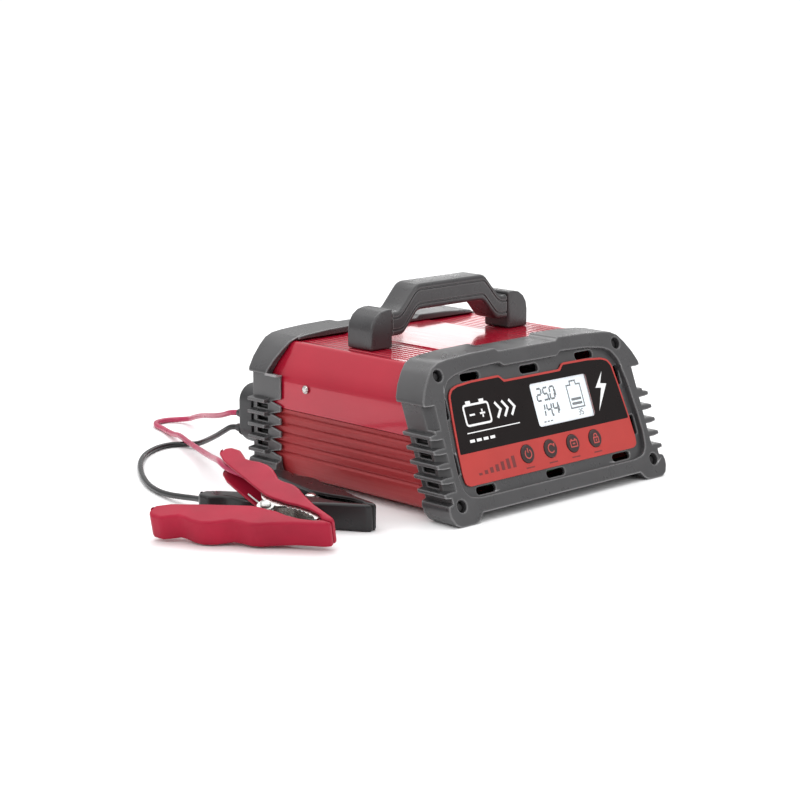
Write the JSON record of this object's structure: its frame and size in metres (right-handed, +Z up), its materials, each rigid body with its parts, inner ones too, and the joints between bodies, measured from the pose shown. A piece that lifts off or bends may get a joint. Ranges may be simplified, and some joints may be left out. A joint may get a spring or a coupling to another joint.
{
  "type": "car battery charger",
  "caption": "Portable car battery charger with a leaning display panel, fold-flat carry handle, rear fan and two leads ending in spring clamps.",
  "frame": {"origin": "on the floor, under the middle of the charger", "axes": "+Z up, +X to the right seen from the front, front panel towards -Y"},
  "size_m": [0.3893, 0.4006, 0.1445],
  "materials": {
    "bezel_grey": "fine satin moulding",
    "body_red": "gloss red over extruded aluminium",
    "label_print": "printed overlay, black over red",
    "clear_window": "clear polished window",
    "display": "lit display with dark grey segments",
    "circuit_board": "green solder mask",
    "button_rubber": "matt",
    "bright_steel": "nickel plated",
    "dark_steel": "black oxide",
    "handle_grey": "fine matt texture",
    "black_panel": "satin black",
    "black_plastic": "satin",
    "core_ferrite": "dull",
    "copper": "enamelled copper winding",
    "capacitor_sleeve": "shrink sleeve",
    "heat_sink": "as extruded",
    "red_cable": "satin jacket",
    "black_cable": "satin jacket",
    "red_clamp": "satin moulding",
    "black_clamp": "satin moulding"
  },
  "bodies": {
    "charger": {"front_bezel": "bezel_grey", "rear_bezel": "bezel_grey", "upper_shell": "body_red", "lower_shell": "body_red", "label_panel": "label_print", "lcd_window": "clear_window", "lcd_module": "display", "display_board": "circuit_board", "main_board": "circuit_board", "front_screw_1": "dark_steel", "front_screw_2": "dark_steel", "front_screw_3": "dark_steel", "front_screw_4": "dark_steel", "rear_screw_1": "dark_steel", "rear_screw_2": "dark_steel", "rear_screw_3": "dark_steel", "rear_screw_4": "dark_steel", "side_screw_right": "bright_steel", "side_screw_left": "bright_steel", "handle_pin_right": "bright_steel", "handle_pin_left": "bright_steel", "fan_guard": "bright_steel", "board_standoff_1": "bright_steel", "board_standoff_2": "bright_steel", "board_standoff_3": "bright_steel", "board_standoff_4": "bright_steel", "red_clamp_lead_jaw": "bright_steel", "black_clamp_lead_jaw": "bright_steel", "red_clamp_pin": "bright_steel", "black_clamp_pin": "bright_steel", "red_clamp_spring": "bright_steel", "black_clamp_spring": "bright_steel", "handle_bracket_right": "handle_grey", "handle_bracket_left": "handle_grey", "rear_panel": "black_panel", "fan_frame": "black_plastic", "mains_inlet": "black_plastic", "lead_outlet_cover": "black_plastic", "red_lead_gland": "black_plastic", "black_lead_gland": "black_plastic", "transformer": "core_ferrite", "output_choke": "copper", "capacitor_1": "capacitor_sleeve", "capacitor_2": "capacitor_sleeve", "heat_sink_right": "heat_sink", "heat_sink_left": "heat_sink", "red_lead": "red_cable", "black_lead": "black_cable", "red_clamp_lead_handle": "red_clamp", "black_clamp_lead_handle": "black_clamp"},
    "carry_handle": {"handle_grip": "handle_grey"},
    "fan": {"fan_rotor": "black_plastic"},
    "red_clamp_half": {"red_clamp_free_handle": "red_clamp", "red_clamp_free_jaw": "bright_steel"},
    "black_clamp_half": {"black_clamp_free_handle": "black_clamp", "black_clamp_free_jaw": "bright_steel"},
    "power_cap": {"power_button": "button_rubber"},
    "mode_cap": {"mode_button": "button_rubber"},
    "battery_cap": {"battery_button": "button_rubber"},
    "lock_cap": {"lock_button": "button_rubber"}
  },
  "joints": [
    {"name": "handle_fold", "type": "hinge", "parent": "charger", "child": "carry_handle", "pos_m": [0, 0.0125, 0.1155], "axis": [1, 0, 0], "range_deg": [-90, 0]},
    {"name": "fan_spin", "type": "hinge", "parent": "charger", "child": "fan", "pos_m": [0.008, 0.0809, 0.052], "axis": [0, 1, 0], "continuous": true},
    {"name": "red_clamp_squeeze", "type": "hinge", "parent": "charger", "child": "red_clamp_half", "pos_m": [-0.21765, -0.04727, 0.01818], "axis": [0.2883, 0.1841, -0.9397], "range_deg": [0, 12], "stiffness_Nm_per_rad": 1.2, "springref_deg": -14.32},
    {"name": "black_clamp_squeeze", "type": "hinge", "parent": "charger", "child": "black_clamp_half", "pos_m": [-0.16307, -0.02822, 0.0093], "axis": [0, 0, 1], "range_deg": [0, 12], "stiffness_Nm_per_rad": 1.2, "springref_deg": -14.32},
    {"name": "power_press", "type": "slide", "parent": "charger", "child": "power_cap", "axis": [0, 0.9345, -0.3561], "range_m": [0, 0.0008], "stiffness_N_per_m": 1500, "springref_m": -0.0003},
    {"name": "mode_press", "type": "slide", "parent": "charger", "child": "mode_cap", "axis": [0, 0.9345, -0.3561], "range_m": [0, 0.0008], "stiffness_N_per_m": 1500, "springref_m": -0.0003},
    {"name": "battery_press", "type": "slide", "parent": "charger", "child": "battery_cap", "axis": [0, 0.9345, -0.3561], "range_m": [0, 0.0008], "stiffness_N_per_m": 1500, "springref_m": -0.0003},
    {"name": "lock_press", "type": "slide", "parent": "charger", "child": "lock_cap", "axis": [0, 0.9345, -0.3561], "range_m": [0, 0.0008], "stiffness_N_per_m": 1500, "springref_m": -0.0003}
  ]
}
